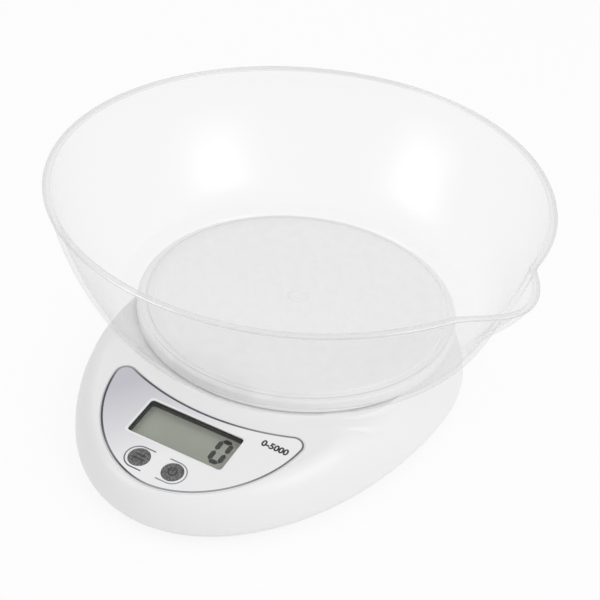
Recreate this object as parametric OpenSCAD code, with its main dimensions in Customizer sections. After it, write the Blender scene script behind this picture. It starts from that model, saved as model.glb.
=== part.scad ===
// Kitchen scale with a clear lift-off bowl.
// Millimetres, +Z up. The table is z = 0 and the display faces -Y.
// The origin is under the middle of the scale's overall box.

/* [Bowl] */
// Outer diameter of the bowl at its rim
bowl_d = 220; // [200:1:240]
// Height of the bowl, from its foot ring to its rim
bowl_h = 61.5; // [50:0.5:80]
// Thickness of the bowl's wall and floor
bowl_wall = 1.8; // [1.4:0.1:2.6]
// How far the bowl's foot ring stands in from the platform's edge
foot_ring_in = 1.5; // [1.5:0.5:8]
// Height of the foot ring under the bowl's floor
foot_ring_h = 1.8; // [1:0.1:3]
// How far the foot of the wall stands out past the foot ring
bowl_heel = 10; // [2:0.5:12]
// Thickness of the flat lip round the rim
lip_h = 1.2; // [1:0.1:3]
// How far the lip stands out from the wall
lip_out = 1.4; // [0.5:0.1:2]
// Direction of the pouring spout, turned from +X
spout_turn = -17.5; // [-180:0.5:180]
// How far the spout's nose reaches past the rim
spout_reach = 7.5; // [4:0.5:12]
// Half the angle that the spout takes up
spout_half = 14; // [12:1:24]
// How far the spout's groove runs down the wall
spout_drop = 30; // [15:1:45]
// How far the rim is drawn in just before the spout
pinch_front = 1.8; // [0:0.1:4]
// How far the rim is drawn in just behind the spout
pinch_back = 5.2; // [0:0.1:6]
// How far round the bowl the rim behind the spout stays drawn in
pinch_turn = 110; // [60:5:140]

/* [Weighing platform] */
// Diameter of the platform
platform_d = 143; // [139:1:163]
// Height of the platform's top face over the table
platform_z = 38.5; // [37:0.5:46]
// Thickness of the platform's plate
platform_t = 2.2; // [1.8:0.1:3]
// Height of the platform's edge, with its skirt
platform_edge = 5.4; // [3:0.1:6]
// Radius of the platform's rounded shoulder
platform_round = 1.2; // [0.5:0.1:1.5]
// How far the platform sinks under a full load
platform_travel = 0.5; // [0.3:0.1:0.6]
// How far the platform's screws stand in from the wall of the well
carrier_in = 17; // [14:0.5:24]

/* [Base] */
// Width of the base
base_w = 157; // [150:0.2:180]
// Reach of the base from the bowl's axis to its front
base_front = 127; // [122:0.2:150]
// Reach of the base from the bowl's axis to its back
base_back = 78.7; // [74:0.1:95]
// Wall thickness of both covers
wall = 2; // [1.6:0.1:2.4]
// Height over the table at which the base is widest
waist_z = 10; // [8:0.5:12]
// Height of the joint between the two covers
parting_z = 5; // [4.5:0.1:6]
// Height of the bottom cover's lower face over the table
ground_gap = 2.5; // [2:0.1:3]

/* [Display] */
// Slope of the display panel, down towards the front
panel_tilt = 8; // [4:1:12]
// Height of the panel where its slope starts
panel_z = 29.8; // [27:0.1:31]
// Distance from the bowl's axis to where the slope starts
panel_start = 78; // [76:1:84]
// Width of the display window
window_w = 44.2; // [36:0.1:48]
// Height of the display window, along the slope
window_h = 18.5; // [14:0.1:20]
// Distance down the slope to the window's middle
window_down = 15.6; // [13:0.1:18]
// How far the window and the printed panel sit to the right of the buttons' middle
display_aside = 1.5; // [-3:0.1:3]
// Diameter of the two buttons
button_d = 9; // [8:0.1:11]
// Distance between the two buttons' middles
button_gap = 15.6; // [13:0.1:20]
// Distance down the slope to the buttons
button_down = 34.6; // [32:0.1:36]
// Travel of a button
button_travel = 0.5; // [0.3:0.05:0.8]
// Width of the printed panel
label_w = 90.6; // [84:0.1:94]
// Reach of the printed panel's round lower edge, down the slope
label_drop = 45.2; // [43:0.1:47]
// Radius of the printed panel's hollow upper edge
label_arc = 108; // [85:1:140]
// Distance down the slope to the middle of the hollow upper edge
label_down = 2.1; // [1:0.1:4]
// Thickness of the printed panel
label_t = 0.5; // [0.3:0.1:0.8]

/* [Inside] */
// Length of the load cell
cell_l = 60; // [50:1:70]
// Width and height of the load cell
cell_w = 12.7; // [10:0.1:14]
// Diameter of a battery
battery_d = 10.5; // [10:0.1:11]
// Length of a battery with its cap
battery_l = 44.5; // [43:0.1:46]
// Thickness of the circuit board
board_t = 1.6; // [1:0.1:2]

/* [Hidden] */

$fn = 64;
eps = 0.01;
fit = 0.05;          // running clearance on a radius
slack = 0.3;         // loose clearance between parts that don't fit each other
edge_gap = 0.15;     // gap round a part let into the panel

platform_r = platform_d / 2;
skirt_w = 1.8;
deck_z = platform_z - platform_edge - platform_travel - slack;
well_r = platform_r - 8.5;
well_wall = 2;
well_z = deck_z - 7;
carrier_reach = well_r - well_wall - carrier_in;
carrier_t = 2.5;
carrier_z = platform_z - 9.3;
rib_h = 2.5;
rib_t = 1.6;

bowl_r = bowl_d / 2;
bowl_top = platform_z + bowl_h;
bowl_under = platform_z + foot_ring_h;
foot_ring_r = platform_r - foot_ring_in;
foot_ring_w = 2.4;

cell_z = 9.5;
cell_top = cell_z + cell_w;
cell_hole_in = cell_l / 4;
cell_hole_out = cell_l / 2 - 5;
cell_screw_r = 1.9;
cell_bore_r = 2.1;
hub_x = (cell_hole_in + cell_hole_out) / 2;
hub_l = cell_hole_out - cell_hole_in + 10;
hub_w = cell_w + 3;

screw_r = 1.4;
pilot_r = screw_r + fit;
head_r = 2.7;
head_h = 1.3;

// The case screws' places: two at the back, two under the ends of the panel
case_rear = (well_r + 1.6) * [cos(26), sin(26)];
case_front = [42, 2 - panel_start];
case_boss_r = 3.6;
case_pilot_h = 10;
case_boss_z = parting_z + 3;

foot_r = 6.8;
foot_z = ground_gap + 1;
foot_front = [38, -88];
foot_rear = [50, 50];

// The battery bay, at the back under the platform
bay_l = battery_l + 8.5;
bay_w = 2 * battery_d + 2;
bay_y = 36;
bay_wall = 2;
bay_top = ground_gap + battery_d + 2.5;
cell_row_z = ground_gap + battery_d / 2 + 2.15;
row_y = [bay_y + 1 + battery_d / 2, bay_y + 1 + battery_d * 1.5];
lead_r = 0.45;
lead_z = cell_row_z + 2;
door_t = 1.8;
door_barrel_r = 1.4;
door_pin_r = 0.9;
door_hinge = [bay_y + 1.7, ground_gap + door_barrel_r];

flank = 12;          // how far the sides and back lean in towards the top
collar_r = platform_r + 1;
shelf_r = platform_r + 7.9;
ridge_z = deck_z + 3;   // the front shelf rises no higher than this beside the platform
seam_in = 1.8;       // how far both covers' edges stand in at the joint between them
lip_t = 1.4;

// Depths under the panel's face, square to it
label_seat = label_t - 0.1;
pane_t = 1;
glass_top = 3.9;
glass_t = 2.6;
board_top = glass_top + glass_t + 2.5;
board_boss_r = 2.6;
board_screw_r = 0.9;
boss_x = window_w / 2 + 8.4;
board_half = boss_x + 3.5;
board_bosses = [[boss_x, -8], [-boss_x, -8], [17, -33], [-17, -33]];
board_outline = [[-board_half, -2], [board_half, -2], [board_half, -20], [20, -41], [-20, -41],
    [-board_half, -20]];
lcd_margin = 2;      // how far the display glass reaches past the window
collar_t = 1.2;      // wall of the frame's black collar inside the window's opening
pane_margin = 2;
switch_h = 3.5;
switch_w = 6;
plunger_r = 1.7;
plunger_up = 0.8;
plunger_down = 1.2;
flange_t = 1;

function smooth(t) = let (c = min(1, max(0, t))) c * c * (3 - 2 * c);
function mix(a, b, k) = a * (1 - k) + b * k;
function polar(r, a, z) = [r * cos(a), r * sin(a), z];

// How far the wall stands out or is drawn in at the turn u from the spout's middle. The nose is
// 1 at the rim, where the spout is whole, and 0 below its groove.
function spout(u, nose) =
    let (
        t = abs(u),
        pinch = u < 0 ? pinch_front : pinch_back,
        reach = u < 0 ? pinch_turn / 2 : pinch_turn,
        across = mix(pinch_front, pinch_back, smooth((u / spout_half + 1) / 2))
    )
    t < spout_half
        ? mix(-across, spout_reach * pow(cos(90 * t / spout_half), 2) - pinch * pow(t / spout_half, 4), nose)
        : -pinch * (1 - smooth((t - reach * 0.35) / (reach * 0.7)));
function turn_from_spout(a) = (a - spout_turn + 540) % 360 - 180;
function rim_r(a) = bowl_r + spout(turn_from_spout(a), 1);

// The middle of the overall box is the origin, so the bowl's axis stands beside it
bowl_left = max([for (a = [0 : 360]) -rim_r(a) * cos(a)]);
bowl_right = max([for (a = [0 : 360]) rim_r(a) * cos(a)]);
bowl_back = max([for (a = [0 : 360]) rim_r(a) * sin(a)]);
axis_x = (bowl_left - bowl_right) / 2;
axis_y = (base_front - bowl_back) / 2;

module on_axis() {
    translate([axis_x, axis_y, 0]) children();
}

// Children are drawn with z = 0 on the panel's face and y = 0 where its slope starts
module on_panel() {
    on_axis() translate([0, -panel_start, panel_z]) rotate([panel_tilt, 0, 0]) children();
}

// A solid through a ring of columns, each with the same number of points. Without poles the
// columns are closed loops, and with poles they are open and end on the two poles.
module loft(columns, poles = []) {
    n = len(columns);
    m = len(columns[0]);
    last = len(poles) == 0 ? m - 1 : m - 2;
    points = concat([for (c = columns) each c], poles);
    sides = [for (i = [0 : n - 1], j = [0 : last]) let (k = (i + 1) % n, l = (j + 1) % m)
        each [[i * m + j, k * m + j, k * m + l], [i * m + j, k * m + l, i * m + l]]];
    caps = len(poles) == 0 ? [] : [for (i = [0 : n - 1]) let (k = (i + 1) % n)
        each [[n * m, k * m, i * m], [n * m + 1, i * m + m - 1, k * m + m - 1]]];
    polyhedron(points, concat(sides, caps));
}

// A solid along a closed section carried through a list of rings
module tube(rings) {
    n = len(rings) - 1;
    m = len(rings[0]);
    sides = [for (i = [0 : n - 1], j = [0 : m - 1]) let (l = (j + 1) % m)
        each [[i * m + j, i * m + l, (i + 1) * m + l], [i * m + j, (i + 1) * m + l, (i + 1) * m + j]]];
    polyhedron([for (ring = rings) each ring],
        concat(sides, [[for (j = [m - 1 : -1 : 0]) j], [for (j = [0 : m - 1]) n * m + j]]));
}

// A wire that runs along the route and rounds its corners
module wire(route, r) {
    last = len(route) - 1;
    aside = [1, 1, 1];
    bends = 3;
    function unit(v) = v / norm(v);
    function middle(i) = i == 0 ? route[0] : i == last ? route[last] : (route[i] + route[i + 1]) / 2;
    function arc(i, t) = mix(mix(i == 1 ? route[0] : middle(i - 1), route[i], t),
        mix(route[i], i == last - 1 ? route[last] : middle(i), t), t);
    corners = [for (i = [1 : last - 1], t = [(i == 1 ? 1 : 0) : bends - 1]) arc(i, t / bends)];
    line = concat([route[0]], corners, [route[last]]);
    end = len(line) - 1;
    tube([for (i = [0 : end])
        let (
            t = unit(line[min(i + 1, end)] - line[max(i - 1, 0)]),
            u = unit(cross(t, aside)),
            v = cross(t, u)
        )
        [for (j = [0 : 5]) line[i] + r * (cos(60 * j) * u + sin(60 * j) * v)]]);
}

module pan_screw(shank, length, head, height) {
    translate([0, 0, -height]) cylinder(h = height, r = head);
    translate([0, 0, -eps]) cylinder(h = length + eps, r = shank);
}

// Bowl

// How far out the wall is, from 1 at the foot to 0 under the lip
function belly(s) = pow(1 - pow(s, 1.4), 0.75);
bowl_steps = [1, 0.985, 0.95, 0.9, 0.83, 0.74, 0.62, 0.5, 0.36, 0.22, 0.1, 0];

function wall_r(s, inside) = mix(foot_ring_r + bowl_heel - inside * 0.4,
    bowl_r - lip_out - inside * bowl_wall, belly(s));
function wall_z(s, inside) = mix(bowl_top - lip_h * (1 - inside), bowl_under + inside * bowl_wall, s);

function bowl_column(a) =
    let (
        outside = [for (s = bowl_steps) [wall_r(s, 0), wall_z(s, 0)]],
        last = len(bowl_steps) - 1,
        inside = [for (i = [last : -1 : 0]) [wall_r(bowl_steps[i], 1), wall_z(bowl_steps[i], 1)]],
        profile = concat([
            [foot_ring_r - foot_ring_w - 0.3, bowl_under],
            [foot_ring_r - foot_ring_w, platform_z],
            [foot_ring_r, platform_z],
            [foot_ring_r + 0.3, bowl_under]],
            outside,
            [[bowl_r, bowl_top - lip_h], [bowl_r, bowl_top - 0.5], [bowl_r - 0.5, bowl_top]],
            inside)
    )
    [for (p = profile)
        let (
            nose = smooth(1 - (bowl_top - p.y) / spout_drop),
            drawn = smooth(2 * (p.y - bowl_under) / (bowl_top - bowl_under))
        )
        polar(p.x + spout(turn_from_spout(a), nose) * drawn, a, p.y)];

module bowl() {
    near_spout = [for (u = [-20 : 2.5 : 20]) spout_turn + u];
    elsewhere = [for (u = [25 : 5 : 335]) spout_turn + u];
    color("aliceblue", 0.4) on_axis()
        loft([for (a = concat(near_spout, elsewhere)) bowl_column(a)],
            [[0, 0, bowl_under], [0, 0, bowl_under + bowl_wall]]);
}

// Weighing platform and what carries it

module at_carrier_screws() {
    for (a = [45 : 90 : 315])
        rotate(a) translate([carrier_reach, 0, 0]) children();
}

module weighing_platform() {
    under = platform_z - platform_t;
    seat_r = foot_ring_r - foot_ring_w - 0.6;
    boss_z = carrier_z + carrier_t;
    shoulder = [platform_r, platform_z] - [platform_round, platform_round];
    color("white") on_axis() difference() {
        union() {
            rotate_extrude() polygon(concat([[0, under], [0, platform_z + 1], [seat_r - 0.4, platform_z + 1],
                [seat_r, platform_z + 0.6], [seat_r, platform_z]],
                [for (t = [0 : 15 : 90]) shoulder + platform_round * [sin(t), cos(t)]],
                [[platform_r, platform_z - platform_edge],
                [platform_r - skirt_w, platform_z - platform_edge], [platform_r - skirt_w, under]]));
            difference() {
                translate([0, 0, under - rib_h]) cylinder(h = rib_h + eps, r = well_r - 3);
                translate([0, 0, under - rib_h - 1]) cylinder(h = rib_h + 2, r = well_r - 3 - rib_t);
            }
            for (a = [0 : 45 : 315])
                rotate(a) translate([10, -rib_t / 2, under - rib_h])
                    cube([well_r - 14, rib_t, rib_h + eps]);
            at_carrier_screws() translate([0, 0, boss_z]) cylinder(h = under - boss_z + eps, r = 4);
        }
        at_carrier_screws() translate([0, 0, boss_z - 1]) cylinder(h = 6, r = pilot_r);
    }
}

module platform_carrier() {
    low = cell_top + platform_travel + 0.1;
    color("gainsboro") on_axis() difference() {
        union() {
            translate([0, 0, carrier_z]) cylinder(h = carrier_t, r = 14);
            for (a = [45 : 90 : 315])
                rotate(a) translate([0, -5, carrier_z]) cube([carrier_reach, 10, carrier_t]);
            at_carrier_screws() translate([0, 0, carrier_z]) cylinder(h = carrier_t, r = 5);
            translate([0, -hub_w / 2, carrier_z]) cube([hub_x + hub_l / 2, hub_w, carrier_t]);
            translate([hub_x - hub_l / 2, -hub_w / 2, low]) cube([hub_l, hub_w, carrier_z - low + eps]);
        }
        at_carrier_screws() {
            translate([0, 0, carrier_z - 1]) cylinder(h = carrier_t + 2, r = screw_r + 0.2);
            translate([0, 0, carrier_z - 1]) cylinder(h = 1 + head_h + 0.1, r = head_r + 0.2);
        }
        for (x = [cell_hole_in, cell_hole_out])
            translate([x, 0, low - 1]) cylinder(h = 9, r = cell_screw_r + fit);
    }
}

module platform_screws() {
    color("silver") on_axis() at_carrier_screws()
        translate([0, 0, carrier_z + head_h + 0.1]) pan_screw(screw_r, 5.2, head_r, head_h);
}

// Load cell

module load_cell() {
    bone = 4.7;
    color("silver") on_axis() difference() {
        translate([-cell_l / 2, -cell_w / 2, cell_z]) cube([cell_l, cell_w, cell_w]);
        for (x = [-7, 7])
            translate([x, 0, cell_z + cell_w / 2]) rotate([90, 0, 0])
                cylinder(h = cell_w + 2, r = bone, center = true);
        translate([-7, -cell_w / 2 - 1, cell_z + cell_w / 2 - 2.6]) cube([14, cell_w + 2, 5.2]);
        for (x = [cell_hole_in, cell_hole_out], side = [-1, 1])
            translate([side * x, 0, cell_z - 1]) cylinder(h = cell_w + 2, r = cell_bore_r);
    }
}

module gauge_sealant() {
    pad_l = 20;
    pad_t = 0.9;
    color("white") on_axis() for (z = [cell_top, cell_z - pad_t])
        translate([-pad_l / 2, -cell_w / 2 + 1, z]) cube([pad_l, cell_w - 2, pad_t]);
}

module cell_foot_block() {
    color("dimgray") on_axis() difference() {
        translate([-cell_l / 2 - 1, -hub_w / 2, parting_z]) cube([hub_l + 1, hub_w, cell_z - parting_z]);
        for (x = [cell_hole_in, cell_hole_out])
            translate([-x, 0, parting_z - 1]) cylinder(h = cell_z, r = cell_bore_r);
    }
}

module cell_upper_screws() {
    color("silver") on_axis() for (x = [cell_hole_in, cell_hole_out])
        translate([x, 0, cell_z]) pan_screw(cell_screw_r, carrier_z - cell_z - 2, 3.2, 2);
}

module cell_lower_screws() {
    color("silver") on_axis() for (x = [cell_hole_in, cell_hole_out])
        translate([-x, 0, ground_gap + head_h]) pan_screw(cell_screw_r, 14, 3.2, head_h);
}

// Covers

// Reach of the base from the bowl's axis in the direction a: an egg, long towards the front
function egg_r(a) = 1 / norm([cos(a) / (base_w / 2), sin(a) / (sin(a) < 0 ? base_front : base_back)]);
function shoulder(a) = 4.2 + 15 * abs(cos(a));
function front_weight(a) = smooth((egg_r(a) - shelf_r) / 20) * smooth(-3 * sin(a));
function panel_height(r, a) = min(ridge_z, panel_z + (r * sin(a) + panel_start) * tan(panel_tilt));

collar_steps = 4;
shelf_steps = 3;
shoulder_steps = 6;
skin_steps = collar_steps + shelf_steps + shoulder_steps;

// Front section: down the collar, out over the sloping shelf, round the shoulder to the waist
function front_point(i, a, w) =
    let (
        reach = egg_r(a) - w,
        edge = max(shelf_r, egg_r(a) - shoulder(a)),
        c = 90 * i / (collar_steps - 1),
        s = (i - collar_steps + 1) / shelf_steps,
        t = 90 * (i - collar_steps - shelf_steps + 1) / shoulder_steps
    )
    i < collar_steps
        ? let (rim = panel_height(shelf_r, a))
            [shelf_r - w * (1 - i / collar_steps) - (shelf_r - collar_r) * cos(c),
                mix(deck_z, c < 45 ? min(deck_z, rim) : rim, sin(c)) - w]
    : s <= 1
        ? [mix(shelf_r, edge, s), panel_height(mix(shelf_r, edge, s), a) - w]
        : [mix(edge, reach, sin(t)), mix(waist_z, panel_height(edge, a) - w, cos(t))];

// Section at the sides and back: a wall that leans in towards the top
function back_point(i, a, w) =
    let (t = i / (skin_steps - 1))
    [egg_r(a) - w - flank * pow(1 - t, 1.5), mix(deck_z - w, waist_z, t)];

function skin(a, w) = concat(
    [for (i = [0 : skin_steps - 1]) mix(back_point(i, a, w), front_point(i, a, w), front_weight(a))],
    [[egg_r(a) - w - 0.5, mix(waist_z, parting_z, 0.6)], [egg_r(a) - w - seam_in, parting_z]]);

function cover_column(a) =
    let (
        outside = concat([[well_r, deck_z]], skin(a, 0)),
        inside = concat([[well_r, deck_z - wall]], skin(a, wall)),
        last = len(inside) - 1
    )
    [for (p = concat(outside, [for (i = [last : -1 : 0]) inside[i]])) polar(p.x, a, p.y)];

// The printed panel: a round lower edge, a hollow upper edge and two round tips
module label_outline(grow = 0) {
    half_w = label_w / 2;
    top_y = 4;
    power = 1.85;
    tip = 5;
    bottom = [for (a = [180 : 5 : 360])
        [half_w * sign(cos(a)) * pow(abs(cos(a)), 2 / power),
            top_y - (label_drop + top_y) * pow(abs(sin(a)), 2 / power)]];
    translate([display_aside, 0]) offset(r = grow + tip, $fn = 32) offset(delta = -tip) difference() {
        polygon(concat(bottom, [[half_w, 20], [-half_w, 20]]));
        translate([0, label_arc - label_down]) circle(r = label_arc, $fn = 180);
    }
}

module window_shape(grow = 0) {
    corner = 1.5;
    translate([display_aside, -window_down])
        offset(r = corner, $fn = 24)
            square([window_w + 2 * (grow - corner), window_h + 2 * (grow - corner)], center = true);
}

module at_buttons() {
    for (side = [-1, 1])
        translate([side * button_gap / 2, -button_down, 0]) children();
}

module case_boss_tops() {
    for (side = [-1, 1]) {
        translate([side * case_rear.x, case_rear.y, case_boss_z])
            cylinder(h = well_z + 1 - wall - case_boss_z, r = case_boss_r);
        translate([side * case_front.x, case_front.y, case_boss_z])
            cylinder(h = panel_z - wall + 0.4 - case_boss_z, r = case_boss_r);
    }
}

module at_case_screws() {
    for (side = [-1, 1], p = [case_rear, case_front])
        translate([side * p.x, p.y, 0]) children();
}

module top_cover() {
    slot = 1.5;
    color("white") difference() {
        union() {
            on_axis() {
                loft([for (a = [0 : 5 : 355]) cover_column(a)]);
                difference() {
                    translate([0, 0, well_z - wall])
                        cylinder(h = deck_z - well_z + wall, r = well_r + eps);
                    translate([0, 0, well_z]) cylinder(h = 20, r = well_r - well_wall);
                }
                case_boss_tops();
            }
            on_panel() for (p = board_bosses)
                translate([p.x, p.y, -board_top])
                    cylinder(h = board_top - wall + 0.3, r = board_boss_r);
        }
        on_axis() {
            translate([hub_x - hub_l / 2 - slot, -hub_w / 2 - slot, well_z - wall - 1])
                cube([hub_l + 2 * slot, hub_w + 2 * slot, wall + 2]);
            at_case_screws() translate([0, 0, case_boss_z - 1])
                cylinder(h = case_pilot_h + 1, r = pilot_r);
        }
        on_panel() {
            translate([0, 0, -label_seat]) linear_extrude(5) label_outline(edge_gap);
            translate([0, 0, -label_seat - pane_t]) linear_extrude(5) window_shape(pane_margin + edge_gap);
            translate([0, 0, -9]) linear_extrude(10) window_shape(collar_t + edge_gap);
            at_buttons() translate([0, 0, -9]) cylinder(h = 10, r = button_d / 2 + edge_gap);
            for (p = board_bosses)
                translate([p.x, p.y, -board_top - 1]) cylinder(h = 5.5, r = board_screw_r + fit);
        }
    }
}

module plate_outline(inset) {
    polygon([for (a = [2 : 4 : 358]) let (r = egg_r(a) - inset) [r * cos(a), r * sin(a)]]);
}

module battery_bay() {
    low = ground_gap;
    translate([-bay_l / 2 - bay_wall, bay_y - bay_wall, low])
        cube([bay_l + 2 * bay_wall, bay_w + 2 * bay_wall, bay_top + bay_wall - low]);
}

module bottom_cover() {
    n = 72;
    lip = seam_in + wall + 0.5;
    rings = [[seam_in, parting_z], [3.2, mix(parting_z, ground_gap, 0.6)], [6, ground_gap]];
    points = [for (g = rings, i = [0 : n - 1]) polar(egg_r(i * 360 / n) - g.x, i * 360 / n, g.y)];
    sides = [for (g = [0, 1], i = [0 : n - 1]) let (k = (i + 1) % n)
        each [[g * n + i, g * n + k, (g + 1) * n + k], [g * n + i, (g + 1) * n + k, (g + 1) * n + i]]];
    color("white") on_axis() difference() {
        union() {
            polyhedron(points, concat(sides,
                [[for (i = [n - 1 : -1 : 0]) i], [for (i = [0 : n - 1]) 2 * n + i]]));
            translate([0, 0, parting_z - 1]) linear_extrude(4) difference() {
                plate_outline(lip);
                plate_outline(lip + lip_t);
            }
            battery_bay();
            at_case_screws() translate([0, 0, parting_z - 1])
                cylinder(h = case_boss_z - parting_z + 1, r = case_boss_r + 1);
            for (y = [-hub_w / 2 - 2.2, hub_w / 2 + 0.2])
                translate([-cell_l / 2 - 1, y, parting_z - 1]) cube([hub_l + 1, 2, 4]);
        }
        translate([-bay_l / 2, bay_y, door_hinge.y + door_barrel_r - 2])
            cube([bay_l, bay_w, bay_top - door_hinge.y - door_barrel_r + 2]);
        translate([-bay_l / 2, bay_y, ground_gap - 1]) cube([bay_l, bay_w, 6]);
        for (side = [-1, 1])
            translate([side * (bay_l / 2 + bay_wall / 2), door_hinge.x, door_hinge.y])
                rotate([0, 90, 0]) cylinder(h = bay_wall + 1, r = door_pin_r + fit, center = true);
        for (y = row_y)
            translate([bay_l / 2 - 1, y, lead_z])
                rotate([0, 90, 0]) cylinder(h = bay_wall + 2, r = 3 * lead_r);
        at_case_screws() {
            translate([0, 0, ground_gap - 1]) cylinder(h = 10, r = screw_r + 0.2);
            translate([0, 0, ground_gap - 1]) cylinder(h = 3.5, r = head_r + 0.3);
        }
        for (x = [cell_hole_in, cell_hole_out]) {
            translate([-x, 0, ground_gap - 1]) cylinder(h = 5, r = cell_bore_r);
            translate([-x, 0, ground_gap - 1]) cylinder(h = 1 + head_h, r = 3.5);
            translate([x, 0, ground_gap - 1]) cylinder(h = 5, r = 4);
        }
        for (side = [-1, 1], p = [foot_front, foot_rear])
            translate([side * p.x, p.y, ground_gap - 1])
                cylinder(h = foot_z - ground_gap + 1, r = foot_r + 0.2);
    }
}

module case_screws() {
    color("silver") on_axis() at_case_screws()
        translate([0, 0, ground_gap + 2.5]) pan_screw(screw_r, 10, head_r, head_h);
}

// Display panel

module label_panel() {
    color("lightgray") on_panel() difference() {
        translate([0, 0, -label_seat]) linear_extrude(label_t) label_outline();
        translate([0, 0, -2]) linear_extrude(4) window_shape();
        at_buttons() translate([0, 0, -2]) cylinder(h = 4, r = button_d / 2 + edge_gap);
    }
}

module display_window() {
    color("aliceblue", 0.4) on_panel() translate([0, 0, -label_seat - pane_t])
        linear_extrude(pane_t) window_shape(pane_margin);
}

// Children are drawn with x = 0 and y = 0 in the window's middle
module at_window() {
    on_panel() translate([display_aside, -window_down, 0]) children();
}

module lcd_glass() {
    l = window_w + 2 * lcd_margin;
    h = window_h + 2 * lcd_margin;
    color("darkseagreen") at_window() translate([-l / 2, -h / 2, -glass_top - glass_t])
        cube([l, h, glass_t]);
}

// The frame stands on the board, holds the glass, and ends in a collar under the window
module lcd_frame() {
    gap = 0.2;
    rim = 1.5;
    roof = 0.9;
    l = window_w + 2 * (lcd_margin + gap);
    h = window_h + 2 * (lcd_margin + gap);
    color("black") difference() {
        union() {
            at_window() translate([-l / 2 - rim, -h / 2 - rim, -board_top])
                cube([l + 2 * rim, h + 2 * rim, board_top - glass_top + roof]);
            on_panel() translate([0, 0, -glass_top])
                linear_extrude(glass_top - label_seat - pane_t - fit) window_shape(collar_t);
        }
        at_window() translate([-l / 2, -h / 2, -board_top - 1]) cube([l, h, board_top - glass_top + 1]);
        on_panel() translate([0, 0, -glass_top - 1]) linear_extrude(glass_top + 1) window_shape();
    }
}

module lcd_connector() {
    strip = 2;
    color("hotpink") at_window() translate([-window_w / 2, -window_h / 2 - 1.8, -board_top])
        cube([window_w, strip, board_top - glass_top - glass_t]);
}

module circuit_board() {
    color("seagreen") on_panel() difference() {
        translate([0, 0, -board_top - board_t]) linear_extrude(board_t) polygon(board_outline);
        for (p = board_bosses)
            translate([p.x, p.y, -board_top - 3]) cylinder(h = 4, r = board_screw_r + 0.2);
    }
}

module chip_coating() {
    blob_r = 6.5;
    blob_h = 1.6;
    color("black") on_panel() translate([-8, -14, -board_top - board_t]) mirror([0, 0, 1])
        rotate_extrude() polygon([[0, 0], [blob_r, 0], [blob_r * 0.86, blob_h * 0.5],
            [blob_r * 0.55, blob_h * 0.88], [0, blob_h]]);
}

module board_components() {
    color("tan") on_panel() translate([0, 0, -board_top - board_t]) mirror([0, 0, 1]) {
        for (x = [6 : 4 : 18])
            translate([x, -12, 0]) cube([2, 1.2, 0.8]);
        translate([6, -20, 0]) cube([8, 3, 2.5]);
        translate([20, -19, 0]) cylinder(h = 4.5, r = 2.5);
        translate([-26, -20, 0]) cube([4, 3, 1.2]);
    }
}

module board_screws() {
    color("silver") on_panel() for (p = board_bosses)
        translate([p.x, p.y, -board_top - board_t]) pan_screw(board_screw_r, 5, 1.9, head_h);
}

module tact_switch() {
    translate([0, 0, -board_top]) difference() {
        translate([-switch_w / 2, -switch_w / 2, 0]) cube([switch_w, switch_w, switch_h]);
        translate([0, 0, switch_h - plunger_down - button_travel - 0.1])
            cylinder(h = 5, r = plunger_r + fit);
    }
}

module at_unit() {
    translate([-button_gap / 2, -button_down, 0]) children();
}

module at_power() {
    translate([button_gap / 2, -button_down, 0]) children();
}

module unit_switch() {
    color("dimgray") on_panel() at_unit() tact_switch();
}

module power_switch() {
    color("dimgray") on_panel() at_power() tact_switch();
}

module plunger() {
    translate([0, 0, -board_top + switch_h - plunger_down])
        cylinder(h = plunger_down + plunger_up, r = plunger_r);
}

module unit_plunger() {
    color("black") on_panel() at_unit() plunger();
}

module power_plunger() {
    color("black") on_panel() at_power() plunger();
}

module button_cap() {
    r = button_d / 2;
    under = wall + 0.15;
    low = board_top - switch_h - plunger_up;
    rotate_extrude() polygon([[0, 0.35], [r - 0.9, 0.3], [r, -0.1], [r, -under], [r + 1.3, -under],
        [r + 1.3, -under - flange_t], [2.6, -under - flange_t], [2.6, -low], [0, -low]]);
}

module unit_button() {
    color("gray") on_panel() at_unit() button_cap();
}

module power_button() {
    color("gray") on_panel() at_power() button_cap();
}

// Power supply

// A dry cell with its plus cap at +X
module battery() {
    can = battery_l - 1.2;
    r = battery_d / 2;
    translate([-battery_l / 2, 0, 0]) rotate([0, 90, 0]) rotate_extrude() polygon([[0, 0.4],
        [r - 1, 0.4], [r - 0.8, 0], [r, 0.4], [r, can - 0.6], [r - 0.6, can], [1.9, can],
        [1.9, battery_l], [0, battery_l]]);
}

spring_room = bay_l - battery_l - 0.4;
row_shift = spring_room / 2 - 0.4;

module battery_left() {
    color("orange") on_axis() translate([row_shift, row_y[0], cell_row_z]) battery();
}

module battery_right() {
    color("orange") on_axis() translate([-row_shift, row_y[1], cell_row_z]) mirror([1, 0, 0]) battery();
}

module coil(r, length, turns, wire_r) {
    steps = 12 * turns;
    tube([for (i = [0 : steps]) [for (j = [0 : 5])
        let (a = i * 30, u = 60 * j)
        [r * cos(a), r * sin(a), length * i / steps]
            + wire_r * [cos(a) * cos(u), sin(a) * cos(u), sin(u)]]]);
}

module battery_springs() {
    wire_r = 0.3;
    length = spring_room - 0.4 - 0.8 - 2 * wire_r;
    color("silver") on_axis() {
        translate([-bay_l / 2 + 0.4 + wire_r, row_y[0], cell_row_z]) rotate([0, 90, 0])
            coil(3, length, 5, wire_r);
        translate([bay_l / 2 - 0.4 - wire_r, row_y[1], cell_row_z]) rotate([0, -90, 0])
            coil(3, length, 5, wire_r);
    }
}

module battery_contacts() {
    t = 0.4;
    w = 8.5;
    low = cell_row_z - 4;
    color("silver") on_axis() {
        translate([-bay_l / 2, row_y[0] - w / 2, low]) cube([t, row_y[1] - row_y[0] + w, 8]);
        for (y = row_y)
            translate([bay_l / 2 - t, y - w / 2, low]) cube([t, w, 8]);
    }
}

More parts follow.
